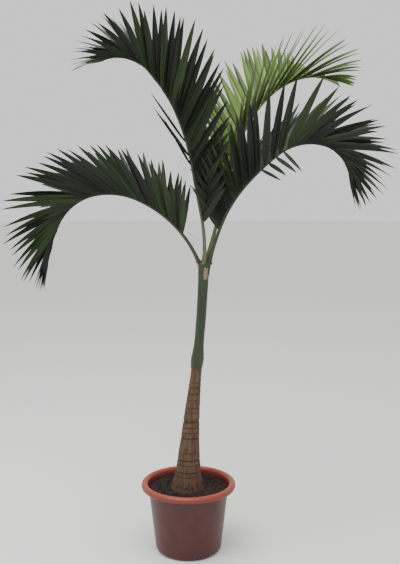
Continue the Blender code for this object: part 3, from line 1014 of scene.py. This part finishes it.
    def build(self) -> None:
        """Build the rib and the leaflets of the frond."""
        plan = self.plan
        rib = self.rib_course()
        self.build_rib(rib)
        chance = random.Random(self.seed)
        blank = rod([share for share, _ in self.outline], sides=4, pointed=True)
        sprays = {tone: bmesh.new() for tone in plan.tones}
        for pair in range(plan.pairs):
            for side in (1, -1):
                tone = chance.choices(list(plan.tones), list(plan.tones.values()))[0]
                course, width = self.leaflet_course(rib, pair, side, chance)
                add_to(sprays[tone], self.leaflet(blank, course, width))
        blank.free()
        for tone, spray in sprays.items():
            name = f"{plan.name}_leaflets_{tone.name.lower()}"
            finish_piece(name, spray, tone.value, plan.nodes(), sharp=25)

    def build_rib(self, rib: Course) -> None:
        """Build the stalk and rib, with a channel along its upper side.

        Args:
            rib: The course of the rib.
        """
        plan = self.plan
        solid = rod(even_shares(self.rib_steps), self.rib_sides, pointed=True)
        shade = solid.verts.layers.float.new("shade")
        for corner in solid.verts:
            across, above, share = corner.co
            corner[shade] = min(1.0, share / (plan.stalk + self.rib_fade))
            flare = 1.0 + self.rib_flare * math.exp(-share * plan.length / self.flare_reach)
            radius = between(self.rib_girth, share) / 2 * flare
            height = above - self.channel * max(0.0, above) ** 4
            corner.co = rib.place(share, across * radius, height * radius)
        finish_piece(f"{plan.name}_rib", solid, plan.stalk_finish, plan.nodes(), sharp=50)


@dataclass
class Scrap:
    """A torn, dry edge of leaf sheath that clings to the crownshaft."""

    name: str
    finish: Finish
    height: float  # of its middle, above the floor
    angle: float  # round the shaft, degrees from +X
    width: float
    length: float
    curl: float  # how strongly it curls away from the shaft
    seed: int
    curl_start: float = -0.1  # it curls above this place, and its ends are at -0.5 and 0.5
    clearance: float = 0.0012
    narrowing: float = 0.5  # how strongly it narrows towards its ends
    tear: float = 0.5  # how ragged its edges are
    tears: float = 3.0  # noise cells across it, for its edges and for its wrinkles
    wrinkles: float = 7.0
    wrinkle_height: float = 0.0006

    def build(self) -> None:
        """Tear the scrap out of a sheet and bend it round the shaft."""
        shaft = Crownshaft()
        foot, top = (corner.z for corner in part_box("crownshaft"))
        solid = bmesh.new()
        bmesh.ops.create_grid(solid, x_segments=8, y_segments=12, size=0.5)
        for corner in solid.verts:
            across, along = corner.co.x, corner.co.y
            torn = noise.noise(Vector((across * self.tears, along * self.tears, self.seed)))
            size = 1.0 + self.tear * torn
            height = self.height + along * self.length * size
            radius = shaft.skin(0.0, min(max(height - foot, 0.0), top - foot))[0] + self.clearance
            radius += self.curl * max(0.0, along - self.curl_start) ** 2
            folds = Vector((across * self.wrinkles, along * self.wrinkles, self.seed + 3))
            radius += self.wrinkle_height * noise.noise(folds)
            width = self.width * (1.0 - self.narrowing * abs(along)) * size
            angle = math.radians(self.angle) + across * width / radius
            middle = shaft.lean(min(height, top))
            corner.co = (middle + radius * math.cos(angle), radius * math.sin(angle), height)
        bmesh.ops.recalc_face_normals(solid, faces=solid.faces)
        bmesh.ops.solidify(solid, geom=solid.faces[:], thickness=0.0005)
        finish_piece(self.name, solid, self.finish, sharp=60)


SCRAPS = (
    Scrap("sheath_edge_orange", DRY_ORANGE, height=1.066, angle=205, width=0.016, length=0.022,
          curl=0.016, seed=3),
    Scrap("sheath_edge_beige", DRY_BEIGE, height=1.036, angle=-70, width=0.020, length=0.040,
          curl=0.004, seed=8),
    Scrap("sheath_edge_maroon", DRY_MAROON, height=1.056, angle=-12, width=0.014, length=0.036,
          curl=0.014, seed=21),
)


@dataclass
class Fibres:
    """Loose threads on the sheath and on the tall frond's stalk."""

    radius: float = 0.0006
    # String between the left stalk and the tall frond's stalk
    string: tuple[Place, ...] = (
        (-0.0017, -0.016, 1.1845), (0.0120, -0.020, 1.1760), (0.0300, -0.020, 1.1640),
        (0.0471, -0.016, 1.1485))
    # White fibre that hangs off the crownshaft's right side
    tuft: tuple[Place, ...] = (
        (0.0790, -0.006, 1.030), (0.0870, -0.008, 1.026), (0.0925, -0.008, 1.016),
        (0.0930, -0.007, 1.002))
    # Curled threads on the tall frond's rib
    curls: int = 7
    curl_length: float = 0.085
    curl_steps: int = 9
    curl_roots: Range = (0.30, 0.48)  # shares of the rib's length where they are rooted
    curl_rises: Range = (-0.9, 0.3)
    curl_bend: Place = (0.05, 0.02, -0.28)  # what turns them at each step
    curl_thinness: float = 0.8
    seed: int = 17

    def build(self) -> None:
        """Lay the string, the tuft and the curled threads."""
        string = thread([Vector(point) for point in self.string], self.radius)
        finish_piece("stalk_string", string, FIBRE_DARK)
        tuft = thread([Vector(point) for point in self.tuft], self.radius)
        finish_piece("sheath_fibre", tuft, FIBRE_PALE)
        chance = random.Random(self.seed)
        rib = Frond(PLANS[0], 0).rib_course()
        whole = bmesh.new()
        for _ in range(self.curls):
            points = [rib.place(chance.uniform(*self.curl_roots), 0.0, 0.0)]
            heading = Vector((-1.0, -0.2, chance.uniform(*self.curl_rises))).normalized()
            for _ in range(self.curl_steps):
                points.append(points[-1] + heading * self.curl_length / self.curl_steps)
                heading = (heading + Vector(self.curl_bend)).normalized()
            add_to(whole, thread(points, self.radius * self.curl_thinness))
        finish_piece("stalk_curled_fibres", whole, FIBRE_DARK)


@dataclass
class Studio:
    """Pale floor, soft light and the photograph's view."""

    camera_place: Place = (0.0428, -2.830, 1.341)
    camera_pitch: float = 6.78  # degrees below the level
    lens_mm: float = 50.39
    sensor_mm: float = 36.0
    floor_radius: float = 30.0
    floor_colour: str = "#f0f0ee"
    floor_roughness: float = 0.9
    sky: float = 1.0
    top_light_watts: float = 130.0
    top_light_size: float = 2.6
    top_light_place: Place = (-0.6, -0.9, 3.6)
    top_light_tilt: Range = (14.0, -9.0)  # degrees round X and Y

    def build(self) -> None:
        """Set up floor, world, lights and camera."""
        disc = bmesh.new()
        bmesh.ops.create_circle(disc, cap_ends=True, segments=96, radius=self.floor_radius)
        floor = add_object("floor", mesh_of("floor", disc))
        paint = bpy.data.materials.new("pale_floor_paint")
        paint.use_nodes = True
        shader = paint.node_tree.nodes["Principled BSDF"]
        shader.inputs["Base Color"].default_value = linear(self.floor_colour)
        shader.inputs["Roughness"].default_value = self.floor_roughness
        floor.data.materials.append(paint)
        self.light()
        lens = bpy.data.cameras.new("camera")
        lens.lens = self.lens_mm
        lens.sensor_width = self.sensor_mm
        camera = add_object("camera", lens)
        camera.location = self.camera_place
        camera.rotation_euler = (math.radians(90 - self.camera_pitch), 0.0, 0.0)
        bpy.context.scene.camera = camera

    def light(self) -> None:
        """Light the studio from a pale sky and a large soft light overhead."""
        world = bpy.data.worlds.new("studio")
        world.use_nodes = True
        background = world.node_tree.nodes["Background"]
        background.inputs["Color"].default_value = (1.0, 1.0, 1.0, 1.0)
        background.inputs["Strength"].default_value = self.sky
        bpy.context.scene.world = world
        lamp = bpy.data.lights.new("overhead", "AREA")
        lamp.energy = self.top_light_watts
        lamp.size = self.top_light_size
        holder = add_object("overhead", lamp)
        holder.location = self.top_light_place
        holder.rotation_euler = (*(math.radians(tilt) for tilt in self.top_light_tilt), 0.0)


def main() -> None:
    """Build the potted palm on its frame and light it."""
    logging.basicConfig(level=logging.INFO, format="%(message)s")
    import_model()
    fronds = [Frond(plan, seed) for seed, plan in enumerate(PLANS)]
    for part in (Pot(), PottingMix(), Trunk(), Crownshaft(), *fronds, *SCRAPS, Fibres(), Studio()):
        part.build()


if __name__ == "__main__":
    main()
